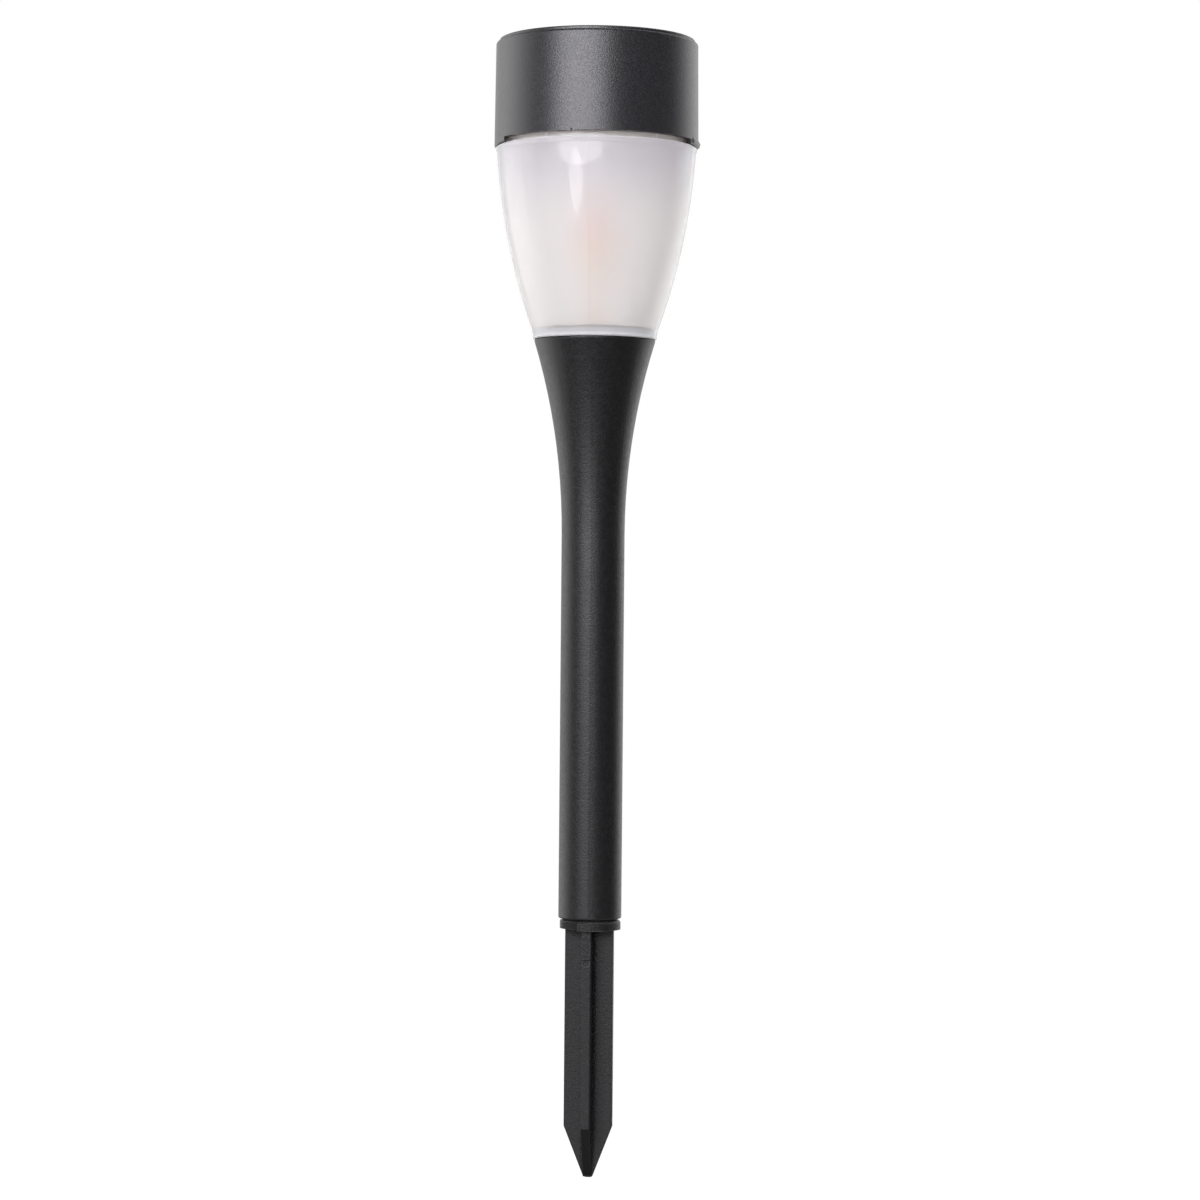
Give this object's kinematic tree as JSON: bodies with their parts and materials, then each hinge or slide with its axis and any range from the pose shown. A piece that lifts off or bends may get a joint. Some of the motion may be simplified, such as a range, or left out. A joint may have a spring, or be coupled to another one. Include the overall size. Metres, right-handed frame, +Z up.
{
  "type": "solar torch garden light",
  "caption": "Slim garden torch light on a ground stake: flared tube pole, frosted bowl shade and a round solar cap that twists and lifts off.",
  "frame": {"origin": "on the axis at the ground line, the underside of the stake's collar", "axes": "+Z up along the pole, -Y towards the front (the fin with the grained pad)"},
  "size_m": [0.0662, 0.0656, 0.3655],
  "materials": {
    "black_polypropylene": "fine moulded grain, satin",
    "black_abs": "fine moulded grain, satin",
    "frosted_plastic": "glossy outside, frosted inside",
    "clear_plastic": "clear",
    "amber_plastic": "tinted translucent, yellow in the middle and red at its edges",
    "seal_rubber": "matte",
    "solar_silicon": "dark blue cell under resin",
    "foam_tape": "foam",
    "white_plastic": "satin",
    "bright_white": "bright white",
    "screw_steel": "zinc plated",
    "battery_sleeve": "shrunk film sleeve",
    "contact_plate": "nickel plated",
    "board_green": "solder mask",
    "led_resin": "clear resin with a warm chip",
    "chip_black": "matte",
    "choke_body": "lacquered",
    "lead_red": "satin",
    "lead_black": "satin"
  },
  "bodies": {
    "stake": {"ground_stake": "black_polypropylene"},
    "pole": {"pole": "black_polypropylene"},
    "bowl": {"frosted_bowl": "frosted_plastic", "flame_insert": "amber_plastic", "neck_ring": "clear_plastic"},
    "seal": {"neck_seal": "seal_rubber"},
    "head": {"solar_cap": "black_abs", "panel_bezel": "black_abs", "panel_window": "clear_plastic", "solar_cell": "solar_silicon", "cell_pad": "foam_tape", "lamp_housing": "white_plastic", "reflector_disc": "bright_white", "housing_screws": "screw_steel", "flat_contact": "contact_plate", "leaf_contact": "contact_plate", "circuit_board": "board_green", "board_screws": "screw_steel", "led": "led_resin", "driver_chip": "chip_black", "choke_coil": "choke_body", "switch_body": "chip_black", "solar_lead_red": "lead_red", "solar_lead_black": "lead_black", "battery_lead_red": "lead_red", "battery_lead_black": "lead_black"},
    "battery_pack": {"battery_door": "white_plastic", "door_screw": "screw_steel", "battery": "battery_sleeve"},
    "switch": {"switch_knob": "white_plastic"}
  },
  "joints": [
    {"name": "pole_pull", "type": "slide", "parent": "stake", "child": "pole", "axis": [0, 0, 1], "range_m": [0, 0.03]},
    {"name": "bowl_pull", "type": "slide", "parent": "pole", "child": "bowl", "axis": [0, 0, 1], "range_m": [0, 0.02]},
    {"name": "head_lift", "type": "slide", "parent": "bowl", "child": "seal", "axis": [0, 0, 1], "range_m": [0, 0.06]},
    {"name": "head_twist", "type": "hinge", "parent": "seal", "child": "head", "pos_m": [0, 0, 0.2587], "axis": [0, 0, 1], "range_deg": [-25, 0]},
    {"name": "battery_out", "type": "slide", "parent": "head", "child": "battery_pack", "axis": [0, 0, -1], "range_m": [0, 0.03]},
    {"name": "switch_slide", "type": "slide", "parent": "head", "child": "switch", "axis": [1, 0, 0], "range_m": [0, 0.002]}
  ]
}
